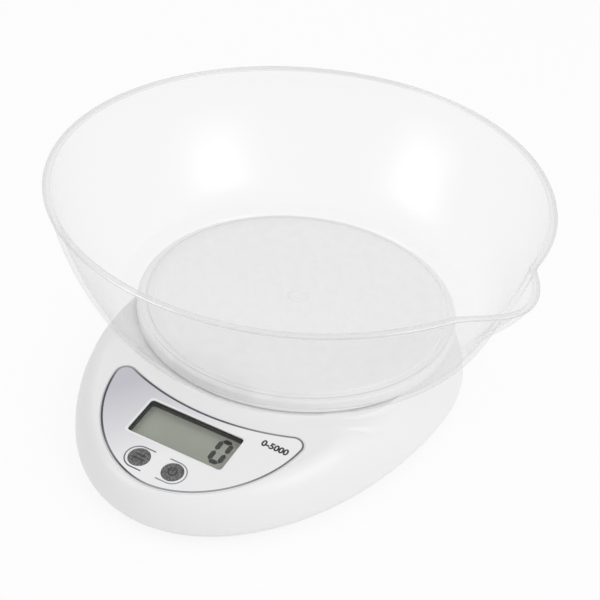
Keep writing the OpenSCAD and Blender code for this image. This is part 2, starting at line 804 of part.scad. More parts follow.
module battery_door() {
    half = bay_l / 2 - slack;
    far = bay_y + bay_w - slack;
    color("white") on_axis() difference() {
        union() {
            translate([-half, door_hinge.x, door_hinge.y]) rotate([0, 90, 0])
                cylinder(h = 2 * half, r = door_barrel_r);
            translate([-half - bay_wall + 0.5, door_hinge.x, door_hinge.y]) rotate([0, 90, 0])
                cylinder(h = 2 * (half + bay_wall - 0.5), r = door_pin_r);
            translate([-half, door_hinge.x, ground_gap]) cube([2 * half, far - door_hinge.x, door_t]);
        }
        translate([0, far - 2, ground_gap - 1]) cylinder(h = door_t + 0.2, r = 5);
    }
}

// Wiring

function under_board(y) = panel_z + (y + panel_start) * tan(panel_tilt)
    - (board_top + board_t) / cos(panel_tilt) - 0.1;

// Four leads run from the load cell's side, along the floor, and up under the board
module load_cell_leads() {
    start_y = 0.9 - cell_w / 2;
    end_y = -panel_start - 5;
    color("firebrick") on_axis() for (i = [0 : 3]) {
        x = -3 + 2 * i;
        wire([[x, start_y, cell_top + 0.55], [x, start_y - 3, cell_top + 1], [x, -16, 12], [x - 4, -30, 8],
            [x - 6, -62, 8], [x - 12, end_y, 10], [x - 12, end_y, under_board(end_y)]], lead_r);
    }
}

// Two leads run from the battery contacts round the side and up under the board
module battery_leads() {
    end_y = -panel_start - 9;
    start_x = bay_l / 2 + 0.2;
    color("black") on_axis() for (i = [0, 1]) {
        x = 2 * i;
        wire([[start_x, row_y[i], lead_z], [start_x + 6 + x, row_y[i], lead_z], [40 + x, 20, 8],
            [40 + x, -30, 8], [30 + x, -70, 8], [24 + x, end_y, 10],
            [24 + x, end_y, under_board(end_y)]], lead_r);
    }
}

// Feet

module foot() {
    rotate_extrude() polygon([[0, 0], [foot_r - 0.8, 0], [foot_r, 0.8], [foot_r, foot_z], [0, foot_z]]);
}

module foot_front_left() {
    color("dimgray") on_axis() translate([-foot_front.x, foot_front.y, 0]) foot();
}

module foot_front_right() {
    color("dimgray") on_axis() translate([foot_front.x, foot_front.y, 0]) foot();
}

module foot_rear_left() {
    color("dimgray") on_axis() translate([-foot_rear.x, foot_rear.y, 0]) foot();
}

module foot_rear_right() {
    color("dimgray") on_axis() translate([foot_rear.x, foot_rear.y, 0]) foot();
}

bowl();
weighing_platform();
platform_carrier();
platform_screws();
load_cell();
gauge_sealant();
cell_foot_block();
cell_upper_screws();
cell_lower_screws();
top_cover();
bottom_cover();
case_screws();
label_panel();
display_window();
lcd_glass();
lcd_frame();
lcd_connector();
circuit_board();
chip_coating();
board_components();
board_screws();
unit_switch();
power_switch();
unit_plunger();
power_plunger();
unit_button();
power_button();
battery_left();
battery_right();
battery_springs();
battery_contacts();
battery_door();
load_cell_leads();
battery_leads();
foot_front_left();
foot_front_right();
foot_rear_left();
foot_rear_right();
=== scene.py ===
import math
import bpy
from mathutils import Matrix, Vector


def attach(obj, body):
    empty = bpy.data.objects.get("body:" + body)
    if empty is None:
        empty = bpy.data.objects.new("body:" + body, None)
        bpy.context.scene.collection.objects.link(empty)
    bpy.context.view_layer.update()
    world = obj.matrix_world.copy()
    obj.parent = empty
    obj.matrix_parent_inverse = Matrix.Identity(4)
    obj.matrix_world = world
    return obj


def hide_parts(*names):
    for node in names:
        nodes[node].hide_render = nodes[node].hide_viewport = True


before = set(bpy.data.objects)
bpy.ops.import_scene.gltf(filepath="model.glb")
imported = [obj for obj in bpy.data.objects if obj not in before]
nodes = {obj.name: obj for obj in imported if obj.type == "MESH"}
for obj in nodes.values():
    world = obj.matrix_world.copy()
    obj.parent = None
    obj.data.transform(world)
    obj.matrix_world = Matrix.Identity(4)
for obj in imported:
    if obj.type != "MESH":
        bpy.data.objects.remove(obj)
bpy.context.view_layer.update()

bpy.ops.object.select_all(action="DESELECT")

# The camera stands half a metre away at the right of the display and looks down into the bowl,
# with the slight roll that the photograph has.
scene = bpy.context.scene
scene.view_settings.view_transform = "Standard"
bpy.ops.object.camera_add()
camera = bpy.context.object
camera.name = "camera"
camera.matrix_world = (
    Matrix.Translation((0.20542, -0.41561, 0.37350))
    @ Matrix.Rotation(math.radians(25.8625), 4, "Z")
    @ Matrix.Rotation(math.radians(54.603), 4, "X")
    @ Matrix.Rotation(math.radians(5.328), 4, "Z")
)
camera.data.sensor_width = 36
camera.data.lens = 77.49
camera.data.clip_start = 0.01
camera.data.clip_end = 20
scene.camera = camera


# White paper lies under the scale and a white room stands round it, so that gloss and clear
# plastic show white too. Two soft boxes hang at the left and the right, and two pale windows
# give the soft highlights inside the bowl.
class Value:
    """An output in a node tree; a sum written on it adds a Math node"""

    def __init__(self, tree, socket):
        self.tree = tree
        self.socket = socket

    def maths(self, operation, *terms):
        return self.tree.add("ShaderNodeMath", {"operation": operation}, *terms)

    def __add__(self, other):
        return self.maths("ADD", self, other)

    def __radd__(self, other):
        return self.maths("ADD", other, self)

    def __sub__(self, other):
        return self.maths("SUBTRACT", self, other)

    def __rsub__(self, other):
        return self.maths("SUBTRACT", other, self)

    def __mul__(self, other):
        return self.maths("MULTIPLY", self, other)

    def __rmul__(self, other):
        return self.maths("MULTIPLY", other, self)

    def __pow__(self, other):
        return self.maths("POWER", self, other)

    def __lt__(self, other):
        return self.maths("LESS_THAN", self, other)

    def __gt__(self, other):
        return self.maths("GREATER_THAN", self, other)


class NodeTree:
    """A node tree in which every node is added by its type, its settings and its values"""

    def __init__(self, tree):
        self.tree = tree
        tree.nodes.clear()

    def add(self, kind, settings, *values, out=0, **named):
        node = self.tree.nodes.new(kind)
        for key, setting in settings.items():
            setattr(node, key, setting)
        for place, value in enumerate(values):
            self.plug(node.inputs[place], value)
        for key, value in named.items():
            self.plug(node.inputs[key.replace("_", " ")], value)
        return Value(self, node.outputs[out]) if node.outputs else None

    def plug(self, socket, value):
        if isinstance(value, Value):
            self.tree.links.new(value.socket, socket)
        elif value is not None:
            socket.default_value = (*value, 1) if socket.type == "RGBA" else value

    def tint(self, low, high, share):
        """A colour between two others"""
        return self.add("ShaderNodeMix", {"data_type": "RGBA"}, share, *[None] * 5, low, high, out=2)

    def watched(self):
        """1 where the camera looks, straight or by way of gloss or clear plastic"""
        seen = [self.add("ShaderNodeLightPath", {}, out=name + " Ray")
                for name in ("Is Camera", "Is Glossy", "Is Transmission")]
        return self.add("ShaderNodeMath", {"operation": "ADD", "use_clamp": True}, seen[0] + seen[1], seen[2])


class Finish(NodeTree):
    """A surface finish: one Principled shader, with patterns placed in the object's own metres"""

    def __init__(self, name, **values):
        self.material = bpy.data.materials.new(name)
        self.material.use_nodes = True
        super().__init__(self.material.node_tree)
        self.shader = self.add("ShaderNodeBsdfPrincipled", {})
        self.end = self.tree.nodes.new("ShaderNodeOutputMaterial")
        self.plug(self.end.inputs[0], self.shader)
        self.place = self.add("ShaderNodeTexCoord", {}, out="Object")
        self.set(**values)

    def set(self, **values):
        for key, value in values.items():
            self.plug(self.shader.socket.node.inputs[key.replace("_", " ")], value)

    def noise(self, scale, detail=2, stretch=None):
        """Noise from 0 to 1, with so many grains to the metre, stretched along the axes"""
        place = self.place
        if stretch is not None:
            place = self.add("ShaderNodeMapping", {}, self.place, Scale=stretch)
        return self.add("ShaderNodeTexNoise", {}, Vector=place, Scale=scale, Detail=detail)

    def axis(self, name):
        """The place along X, Y or Z, in metres"""
        return self.add("ShaderNodeSeparateXYZ", {}, self.place, out=name)

    def between(self, value, low, high):
        """Turns a value into its share of the way from low to high"""
        return self.add("ShaderNodeMapRange", {"clamp": True}, value, low, high, 0, 1)

    def relief(self, height, depth, strength=1):
        """Raises the surface by a pattern of the given depth"""
        self.set(Normal=self.add("ShaderNodeBump", {}, Strength=strength, Distance=depth, Height=height))

    def pass_light(self, surface):
        """Lets lamps and soft light straight through, so that what lies behind clear plastic stays bright"""
        clear = self.add("ShaderNodeBsdfTransparent", {})
        for name in ("Is Diffuse Ray", "Is Shadow Ray"):
            ray = self.add("ShaderNodeLightPath", {}, out=name)
            surface = self.add("ShaderNodeMixShader", {}, ray, surface, clear)
        self.plug(self.end.inputs[0], surface)


bpy.ops.mesh.primitive_plane_add(size=6, location=(0, 0, -0.0001))
sheet = bpy.context.object
sheet.name = "white_paper"
paper = Finish("white_paper", Roughness=0.9)
paper.set(Base_Color=paper.tint((0.92, 0.92, 0.92), (0.94, 0.94, 0.94), paper.noise(900)))
white = paper.add("ShaderNodeEmission", {}, Color=(1, 1, 1), Strength=1)
lit = paper.add("ShaderNodeMixShader", {}, 0.85 * paper.watched(), paper.shader, white)
paper.plug(paper.end.inputs[0], lit)
sheet.data.materials.append(paper.material)

scene.world = bpy.data.worlds.new("white_room")
scene.world.use_nodes = True
room = NodeTree(scene.world.node_tree)
way = room.add("ShaderNodeTexCoord", {}, out="Generated")
side = room.add("ShaderNodeSeparateXYZ", {}, way, out="X")
glow = room.add("ShaderNodeBackground", {}, Color=(1, 1, 1), Strength=0.79 + 0.27 * side)
backdrop = room.add("ShaderNodeBackground", {}, Color=(1, 1, 1), Strength=1)
room.add("ShaderNodeOutputWorld", {}, room.add("ShaderNodeMixShader", {}, room.watched(), glow, backdrop))


def soft_box(name, place, size, power, **unseen):
    bpy.ops.object.light_add(type="AREA", location=place)
    lamp = bpy.context.object
    lamp.name = name
    lamp.data.shape = "RECTANGLE"
    lamp.data.size = size[0]
    lamp.data.size_y = size[1]
    lamp.data.energy = power
    lamp.rotation_euler = (-Vector(place)).to_track_quat("-Z", "Y").to_euler()
    for rays, seen in unseen.items():
        setattr(lamp, rays, seen)


soft_box("left_soft_box", (-0.72, -0.46, 1.15), (0.6, 0.6), 1.6, visible_glossy=False)
soft_box("right_soft_box", (0.86, -0.30, 0.98), (0.6, 0.6), 1.8, visible_glossy=False)
soft_box("right_window", (1.14, -0.19, 0.70), (0.6, 0.6), 2.7, visible_diffuse=False)
soft_box("front_window", (-0.80, -0.94, 0.53), (0.7, 0.6), 3.1, visible_diffuse=False)

# The bottom cover is an egg-shaped tray of white moulded plastic. It has seats for the feet, a
# battery bay at the back, sockets for the case screws, and a lip that the top cover fits over.
axis = Vector((-0.001468, 0.008569, 0))
base_half = 0.0785
base_front = 0.127
base_back = 0.0787
seam_z = 0.005
ground_gap = 0.0025
bay_half = 0.0265
bay_front = 0.036
bay_back = 0.059
bay_top = 0.0155
bay_wall = 0.002
hinge_y = 0.0377
hinge_z = 0.0039
battery_rows = (0.04225, 0.05275)
battery_z = 0.0099
foot_radius = 0.0068
foot_places = {"foot_front_left": (-0.038, -0.088), "foot_front_right": (0.038, -0.088),
               "foot_rear_left": (-0.050, 0.050), "foot_rear_right": (0.050, 0.050)}
case_screw_places = [(-0.05806, 0.02832), (0.05806, 0.02832), (-0.042, -0.076), (0.042, -0.076)]
cell_holes = (0.015, 0.025)
cell_rib_rows = (-0.01005, 0.00805)
socket = 0.0046
shank_hole = 0.0016
head_hole = 0.0030
cell_shank_hole = 0.0021
cell_head_hole = 0.0035
driver_hole = 0.0040


def smooth(t):
    t = min(1, max(0, t))
    return t * t * (3 - 2 * t)


def mix(a, b, share):
    return a * (1 - share) + b * share


def egg(turn):
    """How far the base reaches from the bowl's axis"""
    reach = base_front if math.sin(turn) < 0 else base_back
    return 1 / math.hypot(math.cos(turn) / base_half, math.sin(turn) / reach)


def around(radius, height, turn):
    return Vector((axis.x + radius * math.cos(turn), axis.y + radius * math.sin(turn), height))


def level(radius, height):
    """A flat round ring"""
    return lambda turn: around(radius, height, turn)


def egg_ring(inset, height):
    """A flat ring that follows the base's outline"""
    return lambda turn: around(egg(turn) - inset, height, turn)


def only(piece):
    bpy.ops.object.select_all(action="DESELECT")
    piece.select_set(True)
    bpy.context.view_layer.objects.active = piece


def shade(piece, degrees):
    only(piece)
    bpy.ops.object.shade_smooth_by_angle(angle=math.radians(degrees))


def raise_rings(name, columns, rings):
    """A circle extruded ring after ring, each ring moved to its own shape, and closed at both poles"""
    bpy.ops.object.select_all(action="DESELECT")
    bpy.ops.mesh.primitive_circle_add(vertices=columns, radius=0.05, fill_type="NOTHING")
    piece = bpy.context.object
    piece.name = name
    piece.data.name = name
    bpy.ops.object.mode_set(mode="EDIT")
    bpy.ops.mesh.select_all(action="SELECT")
    for ring in rings[1:]:
        bpy.ops.mesh.extrude_edges_move(TRANSFORM_OT_translate={"value": (0, 0, 0.01)})
    bpy.ops.object.mode_set(mode="OBJECT")
    for i, ring in enumerate(rings):
        for k in range(columns):
            piece.data.vertices[i * columns + k].co = ring(2 * math.pi * k / columns)
    for first in (0, (len(rings) - 1) * columns):
        bpy.ops.object.mode_set(mode="EDIT")
        bpy.ops.mesh.select_mode(type="VERT")
        bpy.ops.mesh.select_all(action="DESELECT")
        bpy.ops.object.mode_set(mode="OBJECT")
        for k in range(columns):
            piece.data.vertices[first + k].select = True
        bpy.ops.object.mode_set(mode="EDIT")
        bpy.ops.mesh.edge_face_add()
        bpy.ops.mesh.poke()
        bpy.ops.object.mode_set(mode="OBJECT")
    bpy.ops.object.mode_set(mode="EDIT")
    bpy.ops.mesh.select_all(action="SELECT")
    bpy.ops.mesh.normals_make_consistent(inside=False)
    bpy.ops.object.mode_set(mode="OBJECT")
    return piece


def plate(outline, low, high):
    """A flat plate: a circle's corners moved to the outline, then raised to its thickness"""
    bpy.ops.object.select_all(action="DESELECT")
    bpy.ops.mesh.primitive_circle_add(vertices=len(outline), radius=0.01, fill_type="NGON")
    piece = bpy.context.object
    for corner, (x, y) in zip(piece.data.vertices, outline):
        corner.co = (x, y, low)
    bpy.ops.object.mode_set(mode="EDIT")
    bpy.ops.mesh.select_all(action="SELECT")
    bpy.ops.mesh.extrude_region_move(TRANSFORM_OT_translate={"value": (0, 0, high - low)})
    bpy.ops.mesh.select_all(action="SELECT")
    bpy.ops.mesh.normals_make_consistent(inside=False)
    bpy.ops.object.mode_set(mode="OBJECT")
    return piece


def disc(place, radius, count=64):
    return [(place[0] + radius * math.cos(2 * math.pi * k / count),
             place[1] + radius * math.sin(2 * math.pi * k / count)) for k in range(count)]


def block(low, high):
    """A block between two corners"""
    corners = [(low[0], low[1]), (high[0], low[1]), (high[0], high[1]), (low[0], high[1])]
    return plate(corners, low[2], high[2])


def join(name, pieces):
    only(pieces[0])
    for piece in pieces:
        piece.select_set(True)
    if len(pieces) > 1:
        bpy.ops.object.join()
    pieces[0].name = name
    pieces[0].data.name = name
    return pieces[0]


def work(piece, operation, tools, place=None):
    """Adds shapes to a piece or cuts them out of it; shapes handed in together don't touch"""
    tool = join("tool", tools)
    tool.data.transform(place or Matrix.Translation(axis))
    only(piece)
    change = piece.modifiers.new("change", "BOOLEAN")
    change.operation = operation
    change.solver = "EXACT"
    change.object = tool
    bpy.ops.object.modifier_apply(modifier="change")
    bpy.data.objects.remove(tool)


def settle(piece, place, finish, slot, body, *stands_for):
    """Moves a finished piece's mesh to its place and hands the piece to its body"""
    piece.data.transform(place)
    piece.data.update()
    if finish is not None:
        piece.data.materials.clear()
        piece.data.materials.append(finish.material)
    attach(piece, body)
    if stands_for:
        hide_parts(*stands_for)


white_plastic = Finish("white_plastic")
cloud = white_plastic.noise(14, detail=1)
white_plastic.set(Base_Color=white_plastic.tint((0.83, 0.83, 0.83), (0.86, 0.86, 0.86), cloud),
                  Roughness=0.32 + 0.08 * white_plastic.noise(60))
white_plastic.relief(white_plastic.noise(5200, detail=3), 0.000012)

tray = raise_rings("bottom_tray", 240, [
    level(0.004, ground_gap), level(0.030, ground_gap), egg_ring(0.0080, ground_gap),
    egg_ring(0.0064, 0.00252), egg_ring(0.0057, 0.00262), egg_ring(0.0045, 0.0030),
    egg_ring(0.0033, 0.0035), egg_ring(0.0026, 0.0040), egg_ring(0.0020, 0.0046),
    egg_ring(0.0018, 0.0049), egg_ring(0.0019, seam_z), egg_ring(0.0038, seam_z),
    level(0.030, seam_z), level(0.004, seam_z),
])
lip_outline = [[(reach.x, reach.y) for reach in [around(egg(turn) - inset, 0, turn) - axis
                for turn in [2 * math.pi * k / 180 for k in range(180)]]] for inset in (0.0043, 0.0057)]
lip = plate(lip_outline[0], seam_z - 0.001, seam_z + 0.003)
work(lip, "DIFFERENCE", [plate(lip_outline[1], 0, 0.02)], Matrix.Identity(4))
work(tray, "UNION", [lip])
work(tray, "UNION", [block((-bay_half - bay_wall, bay_front - bay_wall, ground_gap),
                           (bay_half + bay_wall, bay_back + bay_wall, bay_top + bay_wall))]
     + [plate(disc(place, socket), 0.004, 0.008) for place in case_screw_places]
     + [block((-0.031, y, 0.004), (-0.0100, y + 0.002, 0.008)) for y in cell_rib_rows])
work(tray, "DIFFERENCE", [block((-bay_half, bay_front, hinge_z - 0.0006), (bay_half, bay_back, bay_top))])
work(tray, "DIFFERENCE", [block((-bay_half, bay_front, 0), (bay_half, bay_back, 0.0065))])
work(tray, "DIFFERENCE", [plate(disc(place, shank_hole, 40), 0.001, 0.0115) for place in case_screw_places]
     + [plate(disc(place, foot_radius + 0.0002), 0.001, 0.0035) for place in foot_places.values()]
     + [plate(disc((-x, 0), cell_shank_hole, 40), 0.001, 0.0065) for x in cell_holes]
     + [plate(disc((x, 0), driver_hole), 0.001, 0.0065) for x in cell_holes])
work(tray, "DIFFERENCE", [plate(disc(place, head_hole, 48), 0.001, 0.0050) for place in case_screw_places]
     + [plate(disc((-x, 0), cell_head_hole, 48), 0.001, ground_gap + 0.0013) for x in cell_holes])
crosswise = Matrix.Rotation(math.radians(90), 4, "Y")
for side in (-1, 1):
    pin_hole = plate(disc((0, 0), 0.00095, 32), -0.0015, 0.0015)
    work(tray, "DIFFERENCE", [pin_hole],
         Matrix.Translation(axis + Vector((side * (bay_half + 0.001), hinge_y, hinge_z))) @ crosswise)
for row in battery_rows:
    lead_hole = plate(disc((0, 0), 0.00135, 32), -0.002, 0.002)
    work(tray, "DIFFERENCE", [lead_hole],
         Matrix.Translation(axis + Vector((bay_half + 0.001, row, battery_z + 0.002))) @ crosswise)
shade(tray, 32)
settle(tray, Matrix.Identity(4), white_plastic, "white_plastic", "base", "bottom_cover")


# The feet are four round pads of dark rubber, glued into shallow seats in the bottom cover.
# Their lower edge is rounded and the face that stands on the table is a little matt.
def lathe(name, profile, steps, degrees=40):
    """A single corner drawn out along the profile and spun round the Z axis"""
    bpy.ops.object.select_all(action="DESELECT")
    bpy.ops.mesh.primitive_plane_add(size=0.001)
    piece = bpy.context.object
    piece.name = name
    piece.data.name = name
    bpy.ops.object.mode_set(mode="EDIT")
    bpy.ops.mesh.select_mode(type="VERT")
    bpy.ops.mesh.select_all(action="SELECT")
    bpy.ops.mesh.merge(type="CENTER")
    bpy.ops.transform.translate(value=(profile[0][0], 0, profile[0][1]))
    for (x0, z0), (x1, z1) in zip(profile, profile[1:]):
        bpy.ops.mesh.extrude_vertices_move(TRANSFORM_OT_translate={"value": (x1 - x0, 0, z1 - z0)})
    bpy.ops.mesh.select_all(action="SELECT")
    bpy.ops.mesh.spin(steps=steps, angle=2 * math.pi, center=(0, 0, 0), axis=(0, 0, 1))
    bpy.ops.mesh.select_all(action="SELECT")
    bpy.ops.mesh.remove_doubles(threshold=0.000001)
    bpy.ops.mesh.normals_make_consistent(inside=False)
    bpy.ops.object.mode_set(mode="OBJECT")
    shade(piece, degrees)
    return piece


def another(piece, name):
    """A copy with its own mesh"""
    twin = piece.copy()
    twin.data = piece.data.copy()
    twin.name = name
    twin.data.name = name
    scene.collection.objects.link(twin)
    return twin


rubber = Finish("dark_rubber", Roughness=0.75)
rubber.set(Base_Color=rubber.tint((0.045, 0.045, 0.045), (0.07, 0.07, 0.07), rubber.noise(800)))
rubber.relief(rubber.noise(5000), 0.00004)
foot_height = 0.0035
pad = lathe("rubber_pad", [
    (0, 0), (0.0030, 0), (0.0055, 0), (0.0060, 0.00005), (0.0064, 0.00025), (0.0067, 0.00060),
    (foot_radius, 0.0010), (foot_radius, 0.0022), (foot_radius, foot_height),
    (0.0030, foot_height), (0, foot_height)], 64)
for name, place in foot_places.items():
    there = Matrix.Translation(axis + Vector((*place, 0)))
    settle(another(pad, name + "_pad"), there, rubber, "foot_rubber", "base", name)
bpy.data.objects.remove(pad)

# Zinc-plated screws with round heads and a cross recess hold the covers, the load cell and the
# platform; the smallest hold the circuit board.
steel = Finish("zinc_plated_steel", Metallic=1)
steel.set(Roughness=0.28 + 0.2 * steel.noise(2500))
steel.set(Base_Color=steel.tint((0.5, 0.51, 0.53), (0.68, 0.68, 0.67), steel.noise(700)))


def screw(shank, length, head, height):
    """A screw that stands on its head, with the underside of the head at zero"""
    profile = [(0, -height), (head * 0.5, -height), (head * 0.78, -height * 0.86),
               (head * 0.94, -height * 0.6), (head, -height * 0.3), (head, 0), (shank, 0)]
    pitch = shank * 0.6
    turns = int((length - shank) / pitch)
    for i in range(turns):
        profile += [(shank * 0.8, pitch * (i + 0.35)), (shank, pitch * (i + 0.7)), (shank, pitch * (i + 0.8))]
    profile += [(shank * 0.45, length - shank * 0.15), (0, length)]
    piece = lathe("screw", profile, 40, 30)
    arm = head * 0.62
    half = head * 0.13
    cross = [(arm, half), (half, half), (half, arm), (-half, arm), (-half, half), (-arm, half), (-arm, -half),
             (-half, -half), (-half, -arm), (half, -arm), (half, -half), (arm, -half)]
    work(piece, "DIFFERENCE", [plate(cross, -height * 1.2, -height * 0.35)], Matrix.Identity(4))
    shade(piece, 30)
    return piece


def screw_set(node, body, places, place=Matrix.Translation(axis), **sizes):
    """One screw copied to every place of a node"""
    first = screw(**sizes)
    row = []
    for spot in places:
        one = another(first, "screw")
        one.data.transform(Matrix.Translation(spot))
        row.append(one)
    bpy.data.objects.remove(first)
    settle(join(node + "_set", row), place, steel, "steel", body, node)


small_head = {"shank": 0.0014, "head": 0.0027, "height": 0.0013}
screw_set("case_screws", "base", [(*place, ground_gap + 0.0025) for place in case_screw_places],
          length=0.010, **small_head)
screw_set("cell_lower_screws", "base", [(-x, 0, ground_gap + 0.0013) for x in cell_holes],
          shank=0.0019, length=0.014, head=0.0032, height=0.0013)
carrier_z = 0.0292
carrier_reach = 0.044
diagonals = [(carrier_reach * math.cos(math.radians(a)), carrier_reach * math.sin(math.radians(a)))
             for a in (45, 135, 225, 315)]
screw_set("platform_screws", "platform", [(*place, carrier_z + 0.0014) for place in diagonals],
          length=0.0052, **small_head)
screw_set("cell_upper_screws", "platform", [(x, 0, 0.0095) for x in cell_holes],
          shank=0.0019, length=0.0177, head=0.0032, height=0.002)


# The load cell is a milled aluminium bar with white sealant over its gauges. One end is fixed to
# a grey spacer on the bottom cover and the other lifts the white cross under the platform.
def paint(finish, *names):
    """Gives CAD nodes their finish"""
    for name in names:
        nodes[name].data.materials.clear()
        nodes[name].data.materials.append(finish.material)


milled = Finish("milled_aluminium", Metallic=1)
marks = milled.noise(1800, stretch=(1, 0.03, 1))
milled.set(Base_Color=milled.tint((0.66, 0.66, 0.67), (0.8, 0.8, 0.81), marks), Roughness=0.25 + 0.2 * marks)
milled.relief(marks, 0.00002)
paint(milled, "load_cell")

sealant = Finish("white_sealant", Roughness=0.3)
sealant.set(Base_Color=sealant.tint((0.8, 0.8, 0.77), (0.88, 0.88, 0.86), sealant.noise(400)))
sealant.relief(sealant.noise(350, detail=1), 0.0004)
paint(sealant, "gauge_sealant")

grey_plastic = Finish("grey_plastic", Roughness=0.5)
grain = grey_plastic.noise(500)
grey_plastic.set(Base_Color=grey_plastic.tint((0.14, 0.14, 0.15), (0.18, 0.18, 0.19), grain))
grey_plastic.relief(grey_plastic.noise(6000), 0.00002)
paint(grey_plastic, "cell_foot_block")

inner_plastic = Finish("inner_plastic", Roughness=0.5)
cloud = inner_plastic.noise(120)
inner_plastic.set(Base_Color=inner_plastic.tint((0.72, 0.72, 0.7), (0.78, 0.78, 0.76), cloud))
inner_plastic.relief(inner_plastic.noise(7000), 0.00002)
paint(inner_plastic, "platform_carrier")

# Two dry cells lie head to tail in the bay, between bent steel plates and two coil springs. The
# door under them is white plastic and turns on two pins that snap into the walls of the bay.
battery_half = 0.02225
battery_radius = 0.00525
sleeve = Finish("printed_sleeve", Metallic=0.35, Roughness=0.3)
band = sleeve.axis("X") > 0.0095
sleeve.set(Base_Color=sleeve.tint(sleeve.tint((0.02, 0.02, 0.025), (0.04, 0.04, 0.045), sleeve.noise(300)),
                                  sleeve.tint((0.42, 0.2, 0.05), (0.5, 0.26, 0.08), sleeve.noise(300)), band))
r = battery_radius
can_profile = [(0, 0.0004), (0.0030, 0.0004), (0.0042, 0.0004), (0.0044, 0.0001), (0.0047, 0),
               (0.0051, 0.0002), (r, 0.0005), (r, 0.0009), (r, 0.0240), (r, 0.0420), (r, 0.0427),
               (0.0051, 0.0430), (0.0047, 0.0433), (0.0021, 0.0433), (0.0019, 0.0435), (0.0019, 0.0443),
               (0.0018, 0.0445), (0, 0.0445)]
can = lathe("can", can_profile, 56)
along = Matrix.Rotation(math.radians(90), 4, "Y")
row_shift = 0.00365
for name, row, side in (("battery_left", battery_rows[0], 1), ("battery_right", battery_rows[1], -1)):
    cell = another(can, name + "_can")
    cell.data.materials.append(sleeve.material)
    cell.data.materials.append(steel.material)
    for face in cell.data.polygons:
        ends = face.center.z < 0.0006 or face.center.z > 0.0427
        face.material_index = 1 if ends else 0
    turn = Matrix.Rotation(0 if side > 0 else math.pi, 4, "Z")
    settle(cell, Matrix.Translation(axis + Vector((side * row_shift, row, battery_z))) @ turn
           @ Matrix.Translation((-battery_half, 0, 0)) @ along, None, "battery", "base", name)
bpy.data.objects.remove(can)
paint(steel, "battery_springs", "battery_contacts")
paint(white_plastic, "battery_door")

# The circuit board is lacquered green, with copper tracks, small parts, a drop of black coating
# over its chip, and two push switches with black plungers. Four screws hold it.
board = Finish("green_board")
tracks = board.add("ShaderNodeTexBrick", {"offset": 0.37, "squash": 0.6}, out="Fac", Vector=board.place,
                   Scale=260, Mortar_Size=0.05, Brick_Width=0.8, Row_Height=0.3)
board.set(Base_Color=board.tint((0.02, 0.14, 0.06), (0.05, 0.25, 0.1), tracks), Roughness=0.3 + 0.15 * tracks)
board.relief(tracks, 0.00003)
paint(board, "circuit_board")

coating = Finish("black_coating", Roughness=0.12)
coating.set(Base_Color=coating.tint((0.01, 0.01, 0.01), (0.03, 0.03, 0.03), coating.noise(300)))
coating.relief(coating.noise(200, detail=1), 0.0002)
paint(coating, "chip_coating")

small_parts = Finish("small_parts", Roughness=0.45)
blotches = small_parts.noise(160, detail=0)
small_parts.set(Base_Color=small_parts.tint((0.1, 0.08, 0.06), (0.5, 0.4, 0.28), blotches))
paint(small_parts, "board_components")
paint(grey_plastic, "unit_switch", "power_switch")

black_plastic = Finish("black_plastic", Roughness=0.45)
grain = black_plastic.noise(900)
black_plastic.set(Base_Color=black_plastic.tint((0.012, 0.012, 0.012), (0.02, 0.02, 0.02), grain))
black_plastic.relief(black_plastic.noise(6000), 0.00001)
paint(black_plastic, "unit_plunger", "power_plunger")

panel_start = 0.078
panel_z = 0.0298
panel_tilt = math.radians(8)
on_panel = Matrix.Translation((axis.x, axis.y - panel_start, panel_z)) @ Matrix.Rotation(panel_tilt, 4, "X")
board_back = -0.0106
screw_set("board_screws", "base", [(0.0305, -0.008, board_back), (-0.0305, -0.008, board_back),
                                   (0.017, -0.033, board_back), (-0.017, -0.033, board_back)],
          on_panel, shank=0.0009, length=0.005, head=0.0019, height=0.0013)

# Thin stranded wires in red and black sleeves run from the load cell and from the batteries to
# the board, along the floor of the base.
for name, low, high in (("load_cell_leads", (0.4, 0.03, 0.02), (0.5, 0.05, 0.04)),
                        ("battery_leads", (0.015, 0.015, 0.015), (0.04, 0.04, 0.04))):
    sleeving = Finish(name + "_sleeve", Roughness=0.4)
    sleeving.set(Base_Color=sleeving.tint(low, high, sleeving.noise(500)))
    paint(sleeving, name)

# The display is a grey-green glass in a black frame, over a strip of striped rubber that joins it
# to the board. One plain digit is lit: six dark bars under the glass's polished face.
paint(black_plastic, "lcd_frame")

display = Finish("display_glass", Roughness=0.22)
display.set(Base_Color=display.tint((0.285, 0.30, 0.255), (0.36, 0.375, 0.325), display.noise(60, detail=3)))
paint(display, "lcd_glass")

zebra = Finish("striped_rubber", Roughness=0.6)
stripes = zebra.add("ShaderNodeTexWave", {"bands_direction": "X"}, zebra.place, 900, out="Fac")
zebra.set(Base_Color=zebra.tint((0.05, 0.05, 0.05), (0.7, 0.3, 0.4), stripes))
paint(zebra, "lcd_connector")

glass_depth = 0.0039
digit_left = 0.01343
digit_right = 0.02017
digit_top = -0.0074
digit_foot = -0.0207
point = 0.00105


def upright(x, top, foot):
    """A bar of the digit that stands up, pointed at both ends"""
    return [(x, foot), (x + point, foot + point), (x + point, top - point),
            (x, top), (x - point, top - point), (x - point, foot + point)]


def lying(y, left, right):
    """A bar of the digit that lies flat, pointed at both ends"""
    return [(left, y), (left + point, y - point), (right - point, y - point),
            (right, y), (right - point, y + point), (left + point, y + point)]


